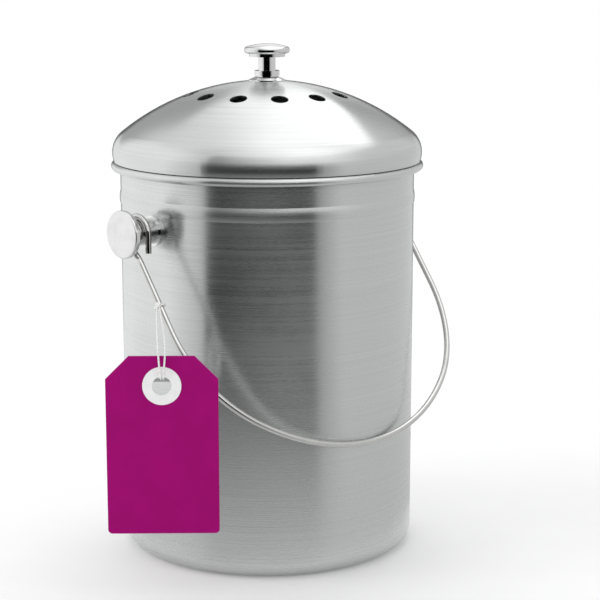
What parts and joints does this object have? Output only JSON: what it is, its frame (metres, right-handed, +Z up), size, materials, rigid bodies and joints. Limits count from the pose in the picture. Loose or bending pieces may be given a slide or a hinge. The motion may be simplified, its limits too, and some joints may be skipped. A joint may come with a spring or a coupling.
{
  "type": "kitchen compost caddy",
  "caption": "Round stainless steel kitchen compost bin with a lift-off domed vented lid, filter cartridge, wire bail handle and hang tag.",
  "frame": {"origin": "centre of the bucket's foot ring, on the surface it stands on", "axes": "+Z up; +X along the bail's studs; the bail hangs at the front, on the -Y side"},
  "size_m": [0.2495, 0.1824, 0.2959],
  "materials": {
    "brushed_sheet": "brushed, satin, fine grain running round the bucket",
    "polished_steel": "polished",
    "screw_steel": "plain zinc-bright steel",
    "printed_card": "uncoated coloured card, bare",
    "white_plastic": "smooth white",
    "white_string": "twisted cotton string",
    "cartridge_steel": "satin thin sheet",
    "gasket_rubber": "matte",
    "charcoal_foam": "open-cell charcoal foam"
  },
  "bodies": {
    "bucket": {"bucket_shell": "brushed_sheet", "stud_washer_left": "polished_steel", "stud_washer_right": "polished_steel", "stud_journal_left": "polished_steel", "stud_journal_right": "polished_steel", "stud_cap_left": "polished_steel", "stud_cap_right": "polished_steel", "stud_screw_left": "screw_steel", "stud_screw_right": "screw_steel", "stud_inner_washer_left": "screw_steel", "stud_inner_washer_right": "screw_steel"},
    "bail": {"bail_wire": "polished_steel"},
    "tag": {"tag_card": "printed_card", "tag_eyelet": "white_plastic", "tag_toggle": "white_plastic", "tag_tie": "white_string", "tag_string_left": "white_string", "tag_string_right": "white_string"},
    "lid": {"lid_shell": "brushed_sheet", "lid_collar": "brushed_sheet", "filter_socket": "brushed_sheet", "knob_base": "polished_steel", "knob_stem": "polished_steel", "knob_cap": "polished_steel", "knob_washer": "screw_steel", "knob_screw": "screw_steel"},
    "filter": {"cartridge_base": "cartridge_steel", "cartridge_gasket": "gasket_rubber"},
    "filter_cover": {"cartridge_cover": "cartridge_steel", "charcoal_pad": "charcoal_foam"}
  },
  "joints": [
    {"name": "bail_swing", "type": "hinge", "parent": "bucket", "child": "bail", "pos_m": [0, 0, 0.1957], "axis": [-1, 0, 0], "range_deg": [0, 287]},
    {"name": "tag_swing", "type": "hinge", "parent": "bail", "child": "tag", "pos_m": [-0.1046, -0.02692, 0.15902], "axis": [0, 0.5916, 0.8062], "range_deg": [-25, 6]},
    {"name": "lid_lift", "type": "slide", "parent": "bucket", "child": "lid", "axis": [0, 0, 1], "range_m": [0, 0.15]},
    {"name": "filter_pull", "type": "slide", "parent": "lid", "child": "filter", "axis": [0, 0, -1], "range_m": [0, 0.03]},
    {"name": "cover_pull", "type": "slide", "parent": "filter", "child": "filter_cover", "axis": [0, 0, -1], "range_m": [0, 0.03]}
  ]
}
